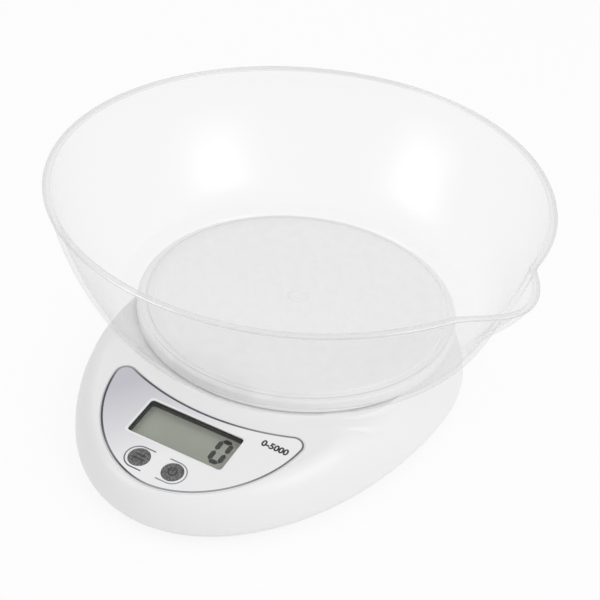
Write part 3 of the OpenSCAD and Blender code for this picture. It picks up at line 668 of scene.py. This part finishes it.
left = digit_left + point
right = digit_right - point
upper = digit_top - point
lower = digit_foot + point
middle = (upper + lower) / 2
gap = 0.00015
bars = [lying(upper, left + gap, right - gap), lying(lower, left + gap, right - gap),
        upright(left, upper - gap, middle + gap), upright(left, middle - gap, lower + gap),
        upright(right, upper - gap, middle + gap), upright(right, middle - gap, lower + gap)]
digit = join("display_digit", [plate(corners, 0, 0.00006) for corners in bars])
ink = Finish("liquid_crystal", Roughness=0.25)
ink.set(Base_Color=ink.tint((0.004, 0.005, 0.004), (0.01, 0.012, 0.01), ink.noise(400)))
settle(digit, on_panel @ Matrix.Translation((0, 0, -glass_depth)), ink, "black_plastic", "base")

# The top cover is one moulded shell of the white plastic: an egg, long towards the front, with a
# well under the platform, a sloping shelf for the display panel and a round shoulder.
wall = 0.002
deck_z = 0.0323
well_radius = 0.063
well_bore = 0.061
well_z = 0.0253
collar_radius = 0.0725
shelf_radius = 0.0794
waist_z = 0.010
flank = 0.012
window_middle = (0.0015, -0.0156)
window_size = (0.0442, 0.0185)
edge_gap = 0.00015
button_radius = 0.0045
button_places = {"unit_button": (-0.0078, -0.0346), "power_button": (0.0078, -0.0346)}


def shelf_height(radius, turn):
    return min(deck_z + 0.003, panel_z + (radius * math.sin(turn) + panel_start) * math.tan(panel_tilt))


def front_section(i, turn, inset):
    """Down the collar, out over the shelf and round the shoulder to the waist, for i from 0 to 12"""
    edge = max(shelf_radius, egg(turn) - 0.0042 - 0.015 * abs(math.cos(turn)))
    if i <= 3:
        rim = shelf_height(shelf_radius, turn)
        near = mix(min(deck_z, rim), rim, smooth(i - 1))
        down = math.radians(30 * i)
        radius = shelf_radius - inset * (1 - i / 4) - (shelf_radius - collar_radius) * math.cos(down)
        return radius, mix(deck_z, near, math.sin(down)) - inset
    if i <= 6:
        radius = mix(shelf_radius, edge, (i - 3) / 3)
        return radius, shelf_height(radius, turn) - inset
    over = math.radians(15 * (i - 6))
    return mix(edge, egg(turn) - inset, math.sin(over)), mix(waist_z, shelf_height(edge, turn) - inset,
                                                             math.cos(over))


def cover_ring(i, inset):
    """The front section, blended at the sides and back into a wall that leans in towards the top"""
    def ring(turn):
        weight = smooth((egg(turn) - shelf_radius) / 0.020) * smooth(-3 * math.sin(turn))
        front = front_section(i, turn, inset)
        back = (egg(turn) - inset - flank * (1 - i / 12) ** 1.5, mix(deck_z - inset, waist_z, i / 12))
        return around(mix(back[0], front[0], weight), mix(back[1], front[1], weight), turn)
    return ring


def skirt_ring(height, inset):
    """Below the waist the wall turns in to the joint with the bottom cover"""
    return egg_ring(inset + 0.0018 * ((waist_z - height) / (waist_z - seam_z)) ** 2.5, height)


cover = raise_rings("top_shell", 240, [
    level(0.004, well_z), level(0.030, well_z), level(0.060, well_z),
    level(well_bore - 0.0002, well_z + 0.0002), level(well_bore, well_z + 0.001),
    level(well_bore, deck_z - 0.0006), level(well_bore + 0.0002, deck_z - 0.0001),
    level(well_bore + 0.0007, deck_z), level(well_radius, deck_z)]
    + [cover_ring(i / 4, 0) for i in range(49)]
    + [skirt_ring(z, 0) for z in (0.0092, 0.0084, 0.0076, 0.0068, 0.0061, 0.0055, 0.0052, seam_z)]
    + [skirt_ring(z, wall) for z in (seam_z, 0.0061, 0.0076)]
    + [cover_ring(i, wall) for i in range(12, -1, -1)]
    + [level(well_radius, deck_z - wall), level(well_radius, well_z - wall), level(0.060, well_z - wall),
       level(0.030, well_z - wall), level(0.004, well_z - wall)])


def window_outline(grow):
    """The window's rounded outline, widened by grow"""
    corner = 0.0015
    half_x = window_size[0] / 2 + grow - corner
    half_y = window_size[1] / 2 + grow - corner
    outline = []
    for quarter, (side_x, side_y) in enumerate(((1, 1), (-1, 1), (-1, -1), (1, -1))):
        for step in range(11):
            turn = math.radians(90 * (quarter + step / 10))
            outline.append((window_middle[0] + side_x * half_x + corner * math.cos(turn),
                            window_middle[1] + side_y * half_y + corner * math.sin(turn)))
    return outline


label_widest = 0.004
label_fullness = 2 / 1.85


def curve_point(half, drop, turn):
    """A point on the printed panel's full lower edge"""
    side = math.copysign(abs(math.cos(turn)) ** label_fullness, math.cos(turn))
    fall = (drop + label_widest) * abs(math.sin(turn)) ** label_fullness
    return Vector((half * side, label_widest - fall))


def label_outline(grow, count=420):
    """The printed panel's outline: a full round lower edge, a hollow upper edge and two round tips"""
    half = 0.0453
    drop = 0.0452
    tip = 0.005
    arc = 0.108
    hollow = Vector((0, arc - 0.0021))
    lower = [curve_point(half, drop, math.radians(270 + step / 8)) for step in range(721)]
    lower += [Vector((half, label_widest + k * 0.0002)) for k in range(1, 40)]

    def tip_middle(turn):
        return hollow + (arc + tip) * Vector((math.cos(turn), math.sin(turn)))

    near_turn = math.radians(-80)
    far_turn = math.radians(-62)
    for _ in range(30):
        turn = (near_turn + far_turn) / 2
        if min((spot - tip_middle(turn)).length for spot in lower) > tip:
            near_turn = turn
        else:
            far_turn = turn
    centre = tip_middle(near_turn)
    touch = min(range(len(lower)), key=lambda k: (lower[k] - centre).length)
    start = lower[touch] - centre
    first = math.atan2(start.y, start.x)
    last = near_turn + math.pi

    def bend(middle, radius, start, end, steps):
        turns = [mix(start, end, k / steps) for k in range(1, steps + 1)]
        return [middle + radius * Vector((math.cos(turn), math.sin(turn))) for turn in turns]

    half_path = lower[:touch + 1]
    half_path += bend(centre, tip, first, last, 60)
    half_path += bend(hollow, arc, near_turn, math.radians(-90), 90)
    whole = half_path + [Vector((-spot.x, spot.y)) for spot in reversed(half_path[1:-1])]
    run = [0]
    for a, b in zip(whole, whole[1:] + whole[:1]):
        run.append(run[-1] + (b - a).length)
    outline = []
    k = 0
    for step in range(count):
        far = run[-1] * step / count
        while run[k + 1] < far:
            k += 1
        a = whole[k]
        b = whole[(k + 1) % len(whole)]
        ahead = (b - a).normalized()
        spot = a.lerp(b, (far - run[k]) / (run[k + 1] - run[k])) + grow * Vector((ahead.y, -ahead.x))
        outline.append((spot.x + window_middle[0], spot.y))
    return outline


def tube(place, outer, bore, low, high, drilled):
    """A hollow boss, closed at its top, with its bore open at the bottom"""
    section = [(0, drilled), (bore, drilled), (bore, low), (outer, low), (outer, high), (0, high)]
    boss = lathe("boss", section, 40)
    boss.data.transform(Matrix.Translation((*place, 0)))
    return boss


board_bosses = [(0.0305, -0.008), (-0.0305, -0.008), (0.017, -0.033), (-0.017, -0.033)]
work(cover, "UNION", [tube(place, 0.0036, 0.00145, 0.008, top, 0.018)
                      for place, top in zip(case_screw_places, (0.0243, 0.0243, 0.0282, 0.0282))])
work(cover, "UNION", [tube(place, 0.0026, 0.00095, -0.009, -0.0017, -0.0045) for place in board_bosses],
     on_panel)
work(cover, "DIFFERENCE", [plate(label_outline(edge_gap), -0.0004, 0.006)], on_panel)
work(cover, "DIFFERENCE", [plate(window_outline(0.00215), -0.0014, 0.006)], on_panel)
button_hole = button_radius + edge_gap
work(cover, "DIFFERENCE", [plate(window_outline(0.00135), -0.009, 0.006)]
     + [plate(disc(place, button_hole), -0.009, 0.006) for place in button_places.values()], on_panel)
work(cover, "DIFFERENCE", [block((0.0085, -0.00935, 0.020), (0.0315, 0.00935, 0.030))])
shade(cover, 32)
settle(cover, Matrix.Identity(4), white_plastic, "white_plastic", "base", "top_cover")

# The display panel's face is a printed plastic sheet, half a millimetre thick, glued into its
# seat: silver, with a dark line round its edge, a white border and a line beside each button.
label = join("silver_panel", [plate(label_outline(0), -0.0004, 0.0001)])
silver = Finish("silver_print", Metallic=0.15)
flakes = silver.noise(9000, detail=1)
# Painted sheen: the silver print goes from lilac grey at the left and front to near white at the right and
# back, where a reflection would lie on it.
painted_sheen = silver.between(silver.axis("X") - 0.8 * silver.axis("Y"), 0.022, 0.078)
silver_with_painted_sheen = silver.tint((0.545, 0.535, 0.59), (0.87, 0.87, 0.88), painted_sheen)
silver.set(Base_Color=silver.tint(silver_with_painted_sheen, (0.86, 0.86, 0.87), 0.12 * flakes),
           Roughness=0.3 + 0.12 * flakes)
dark_ink = Finish("dark_grey_ink", Roughness=0.35)
worn = dark_ink.between(dark_ink.noise(26, detail=1), 0.46, 0.66)
dark_ink.set(Base_Color=dark_ink.tint((0.055, 0.055, 0.06), (0.30, 0.30, 0.31), worn))
label.data.materials.append(silver.material)
label.data.materials.append(dark_ink.material)
only(label)
bpy.ops.object.mode_set(mode="EDIT")
bpy.ops.mesh.select_mode(type="FACE")
bpy.ops.mesh.select_all(action="DESELECT")
bpy.ops.object.mode_set(mode="OBJECT")
for face in label.data.polygons:
    face.select = face.normal.z > 0.9
bpy.ops.object.mode_set(mode="EDIT")
bpy.ops.mesh.inset(thickness=0.0003, use_even_offset=True)
bpy.ops.mesh.inset(thickness=0.0009, use_even_offset=True)
bpy.ops.object.mode_set(mode="OBJECT")
face_corners = set(next(face for face in label.data.polygons if face.select).vertices)
for face in label.data.polygons:
    if not face.select and len(face_corners & set(face.vertices)) == 2:
        face.material_index = 1
work(label, "DIFFERENCE", [plate(window_outline(0), -0.002, 0.002)]
     + [plate(disc(place, button_hole), -0.002, 0.002) for place in button_places.values()],
     Matrix.Identity(4))
settle(label, on_panel, None, "silver_label", "base", "label_panel")

white_ink = Finish("white_print", Roughness=0.35)
white_ink.set(Base_Color=white_ink.tint((0.82, 0.82, 0.82), (0.88, 0.88, 0.88), white_ink.noise(300)))
border = join("window_border", [plate(window_outline(0.0009), 0.00005, 0.00015)])
work(border, "DIFFERENCE", [plate(window_outline(0.00002), -0.002, 0.002)], Matrix.Identity(4))
settle(border, on_panel, white_ink, "white_plastic", "base")


def ribbon(path, width):
    """A printed line along a path, raised by the thickness of its ink"""
    sides = [[], []]
    for k, spot in enumerate(path):
        ahead = (Vector(path[min(k + 1, len(path) - 1)]) - Vector(path[max(k - 1, 0)])).normalized()
        aside = width / 2 * Vector((-ahead.y, ahead.x))
        sides[0].append(tuple(Vector(spot) + aside))
        sides[1].append(tuple(Vector(spot) - aside))
    return plate(sides[0] + sides[1][::-1], 0.00006, 0.00014)


def arc_path(place, radius, first, last, count=40):
    """Points on an arc, its turns in degrees clockwise from the top"""
    turns = [math.radians(mix(first, last, k / count)) for k in range(count + 1)]
    return [(place[0] + radius * math.sin(t), place[1] + radius * math.cos(t)) for t in turns]


def clasp(side):
    """The line round one button: half a circle on its outer side, with two straight ends"""
    x = side * 0.0082
    y = -0.03475
    radius = 0.00545
    near = side * 0.0034
    straight = [(mix(near, x, k / 4), y + radius) for k in range(4)]
    back = [(p, 2 * y - q) for p, q in reversed(straight)]
    return straight + arc_path((x, y), radius, 0, side * 180) + back


lines = join("button_lines", [ribbon(clasp(-1), 0.00055), ribbon(clasp(1), 0.00055)])
settle(lines, on_panel, dark_ink, "grey_buttons", "base")

bpy.ops.object.select_all(action="DESELECT")
bpy.ops.object.text_add()
figures = bpy.context.object
figures.data.body = "0-5000"
figures.data.size = 0.0042
figures.data.align_x = "CENTER"
figures.data.align_y = "CENTER"
figures.data.extrude = 0.00004
figures.data.offset = 0.00016
bpy.ops.object.convert(target="MESH")
figures = join("range_figures", [bpy.context.object])
bpy.ops.object.mode_set(mode="EDIT")
bpy.ops.mesh.select_all(action="SELECT")
bpy.ops.mesh.remove_doubles(threshold=0.000001)
bpy.ops.mesh.normals_make_consistent(inside=False)
bpy.ops.object.mode_set(mode="OBJECT")
black_ink = Finish("black_print", Roughness=0.4)
black_ink.set(Base_Color=black_ink.tint((0.02, 0.02, 0.02), (0.04, 0.04, 0.04), black_ink.noise(600)))
settle(figures, on_panel @ Matrix.Translation((0.0362, -0.0043, 0.00012)), black_ink, "black_plastic", "base")

# The window is a clear pane, a millimetre thick, glued under the printed sheet.
# Its upper face lies just below the sheet's.
clear_pane = Finish("clear_pane", Base_Color=(0.97, 0.98, 0.97), IOR=1.12, Transmission_Weight=1,
                    Coat_Weight=0.25, Coat_Roughness=0.05)
clear_pane.set(Roughness=0.01 * clear_pane.noise(200))
clear_pane.pass_light(clear_pane.shader)
paint(clear_pane, "display_window")

# Each button is a dark grey cap with a soft edge, a flange under the cover and a stem that rests
# on its switch. A plain sign is printed on each: two arrows, and the sign for on and off.
button_grey = Finish("button_grey")
speckle = button_grey.between(button_grey.noise(1500), 0.36, 0.66)
button_grey.set(Base_Color=button_grey.tint((0.045, 0.045, 0.047), (0.20, 0.20, 0.205), speckle),
                Roughness=0.42 + 0.16 * speckle)
button_grey.relief(speckle, 0.00003)
flange_radius = 0.0058
flange_top = -0.00215
flange_foot = -0.00315
stem_radius = 0.0026
stem_foot = -0.0047
cap = lathe("cap", [
    (0, 0.00037), (0.0015, 0.00036), (0.0028, 0.00033), (0.0036, 0.00027), (0.0041, 0.00015),
    (0.0044, -0.00005), (button_radius, -0.0003), (button_radius, flange_top), (flange_radius, flange_top),
    (flange_radius, flange_foot), (stem_radius, flange_foot), (stem_radius, stem_foot), (0, stem_foot)], 72)
for name, place in button_places.items():
    there = on_panel @ Matrix.Translation((*place, 0))
    settle(another(cap, name + "_cap"), there, button_grey, "grey_buttons", name, name)
bpy.data.objects.remove(cap)


def arrow(side, y):
    """An arrow that points to one side"""
    head = 0.0009
    stem = 0.0003
    tip = side * 0.0025
    neck = side * 0.0011
    return plate([(tip, y), (neck, y + head), (neck, y + stem), (-tip, y + stem), (-tip, y - stem),
                  (neck, y - stem), (neck, y - head)], 0.00035, 0.0004)


arrows = join("change_sign", [arrow(1, 0.0010), arrow(-1, -0.0010)])
settle(arrows, on_panel @ Matrix.Translation((*button_places["unit_button"], 0)), black_ink, "black_plastic",
       "unit_button")
on_off = join("on_off_sign", [ribbon(arc_path((0, 0), 0.0017, 38, 322), 0.00055),
                              ribbon([(0, 0.0024), (0, 0.0003)], 0.00055)])
settle(on_off, on_panel @ Matrix.Translation((*button_places["power_button"], 0.00027)), black_ink,
       "black_plastic", "power_button")

# The platform is a white moulded disc with a skirt, a raised middle that centres the bowl, and
# ribs and four screw bosses underneath.
platform_z = 0.0385
platform_radius = 0.0715
shoulder = 0.0012
seat = 0.067
seat_z = platform_z + 0.001
skirt_radius = 0.0697
skirt_z = platform_z - 0.0054
under = platform_z - 0.0022
shoulder_x = platform_radius - shoulder
shoulder_z = platform_z - shoulder
shoulder_turns = [math.radians(t) for t in range(0, 91, 10)]
platform = lathe("white_platform", [
    (0, seat_z), (0.030, seat_z), (0.060, seat_z), (seat - 0.0006, seat_z),
    (seat - 0.0003, platform_z + 0.0009), (seat - 0.0001, platform_z + 0.0006),
    (seat, platform_z + 0.0002), (seat, platform_z), (0.0685, platform_z)]
    + [(shoulder_x + shoulder * math.sin(turn), shoulder_z + shoulder * math.cos(turn))
       for turn in shoulder_turns]
    + [(platform_radius, skirt_z + 0.0004), (platform_radius - 0.0002, skirt_z), (skirt_radius, skirt_z),
       (skirt_radius, under), (0.060, under), (0.030, under), (0, under)], 192, 32)
rib_z = under - 0.0025
sunk = under + 0.0004
rib_ring = plate(disc((0, 0), 0.060, 160), rib_z, sunk)
work(rib_ring, "DIFFERENCE", [plate(disc((0, 0), 0.0584, 160), 0, 0.1)], Matrix.Identity(4))
work(platform, "UNION", [rib_ring], Matrix.Identity(4))
for eighth in range(8):
    rib = block((0.010, -0.0008, rib_z), (0.059, 0.0008, sunk))
    work(platform, "UNION", [rib], Matrix.Rotation(math.radians(45 * eighth), 4, "Z"))
boss_z = carrier_z + 0.0025
work(platform, "UNION", [plate(disc(place, 0.004), boss_z, sunk) for place in diagonals], Matrix.Identity(4))
bores = [plate(disc(place, 0.00145, 32), boss_z - 0.001, boss_z + 0.005) for place in diagonals]
work(platform, "DIFFERENCE", bores, Matrix.Identity(4))
shade(platform, 32)
# The platform is the covers' white plastic, drawn lighter as painted light so that it looks as bright under
# the bowl as the open deck.
white_plastic_painted_lighter = Finish("white_plastic_painted_lighter", Roughness=0.38)
cloud = white_plastic_painted_lighter.noise(14)
white_plastic_painted_lighter.set(Base_Color=white_plastic_painted_lighter.tint((0.90, 0.90, 0.90), (0.93, 0.93, 0.93), cloud))
white_plastic_painted_lighter.relief(white_plastic_painted_lighter.noise(5200, detail=3), 0.000012)
settle(platform, Matrix.Translation(axis), white_plastic_painted_lighter, "white_plastic", "platform", "weighing_platform")

# The bowl is thin clear plastic, moulded in one piece with its gate in the middle of the floor: a
# deep round wall, a flat lip, a pouring spout drawn out of the rim, and a foot ring. It throws no
# shadow and stops no soft light, so that the platform under it stays bright.
bowl_radius = 0.110
bowl_top = 0.100
bowl_under = 0.0403
bowl_wall = 0.0018
foot_ring = 0.070
ring_z = 0.0386
floor_disc = 0.0636
gate = 0.0036
heel = 0.010
lip_out = 0.0014
lip_height = 0.0012
spout_turn = math.radians(-17.5)
spout_reach = 0.0075
spout_half = 14
spout_drop = 0.030
pinch_front = 0.0018
pinch_back = 0.0052


def spout(away, nose):
    """How far the wall stands out or is drawn in, at so many degrees from the spout's middle"""
    off = abs(away)
    pinch = pinch_front if away < 0 else pinch_back
    reach = 55 if away < 0 else 110
    if off < spout_half:
        crest = spout_reach * math.cos(math.radians(90 * off / spout_half)) ** 2
        groove = crest - pinch * (off / spout_half) ** 4
        return mix(-mix(pinch_front, pinch_back, smooth((away / spout_half + 1) / 2)), groove, nose)
    return -pinch * (1 - smooth((off - reach * 0.35) / (reach * 0.7)))


def bowl_ring(radius, height):
    """A ring of the bowl, drawn in beside the spout; the spout's groove runs out down the wall"""
    nose = smooth(1 - (bowl_top - height) / spout_drop)
    drawn = smooth(2 * (height - bowl_under) / (bowl_top - bowl_under))

    def ring(turn):
        away = (math.degrees(turn - spout_turn) + 540) % 360 - 180
        return around(radius + spout(away, nose) * drawn, height, turn)
    return ring


def wall_point(s, inside):
    """A point on the wall's outer or inner face, for s from 0 under the lip to 1 at the foot"""
    belly = max(0, 1 - s ** 1.4) ** 0.75
    radius = mix(foot_ring + heel - inside * 0.0004, bowl_radius - lip_out - inside * bowl_wall, belly)
    return radius, mix(bowl_top - lip_height * (1 - inside), bowl_under + inside * bowl_wall, s)


wall_steps = [math.sin(math.pi / 2 * k / 30) for k in range(31)]
floor_z = bowl_under + bowl_wall
profile = [(radius, bowl_under) for radius in (0.004, 0.030, 0.060, foot_ring - 0.0029)]
profile += [(foot_ring + out, ring_z + up) for out, up in (
    (-0.0026, 0.0014), (-0.0024, 0.0004), (-0.0021, 0.0001), (-0.0017, 0), (-0.0007, 0),
    (-0.0003, 0.0001), (0, 0.0004), (0.0002, 0.0013), (0.0005, 0.0016))]
profile += [(foot_ring + out, bowl_under) for out in (0.0012, 0.0050, 0.0085)]
profile += [wall_point(s, 0) for s in reversed(wall_steps)]
profile += [(bowl_radius - back, bowl_top - down) for back, down in (
    (0.0010, lip_height), (0.0004, lip_height), (0.0001, 0.0010), (0, 0.0007), (0, 0.0004),
    (0.0002, 0.0001), (0.0005, 0), (0.0017, 0), (0.0025, 0), (0.0029, 0.0001))]
profile += [wall_point(s, 1) for s in wall_steps[1:]]
profile += [(radius, floor_z) for radius in (0.0770, 0.0700, 0.060, 0.045, 0.030, 0.015, 0.0050)]
profile += [(gate + 0.0010, floor_z + 0.00015), (gate + 0.0004, floor_z + 0.00015), (gate, floor_z),
            (0.0016, floor_z), (0.0012, floor_z + 0.0003), (0.0005, floor_z + 0.00035)]
bowl = raise_rings("clear_bowl", 288, [bowl_ring(radius, height) for radius, height in profile])
shade(bowl, 35)
clear_plastic = Finish("clear_plastic", Metallic=1)
flow = clear_plastic.noise(30, stretch=(1, 1, 0.25))
clear_plastic.set(Base_Color=clear_plastic.tint((0.72, 0.72, 0.72), (0.80, 0.80, 0.80), flow),
                  Roughness=0.26 + 0.06 * flow)
clear_plastic.relief(flow, 0.00025, strength=0.25)
facing = clear_plastic.add("ShaderNodeLayerWeight", {}, 0.5, out="Facing")
height = clear_plastic.axis("Z")
across = clear_plastic.axis("X") - axis.x
along = clear_plastic.axis("Y") - axis.y
reach = (across * across + along * along) ** 0.5
on_lip = height > bowl_top - lip_height - 0.0001
on_floor = (reach < floor_disc) * (height < floor_z + 0.0001)
ripples = clear_plastic.between(clear_plastic.noise(160, detail=3, stretch=(1, 1, 0)), 0.42, 0.62)
gate_edge = (reach > gate) * (reach < gate + 0.0014) * on_floor
mirrored = ((0.034 + 0.01 * flow + 0.3 * facing ** 4) * (1 - 0.8 * on_floor) + 0.4 * on_lip
            + 0.025 * ripples * on_floor + 0.16 * gate_edge)
see_through = clear_plastic.add("ShaderNodeBsdfTransparent", {}, (0.987, 0.987, 0.987))
thin_wall = clear_plastic.add("ShaderNodeMixShader", {}, mirrored, see_through, clear_plastic.shader)
clear_plastic.plug(clear_plastic.end.inputs[0], thin_wall)
settle(bowl, Matrix.Identity(4), clear_plastic, "clear_plastic", "bowl", "bowl")
bowl.visible_diffuse = False
bowl.visible_shadow = False
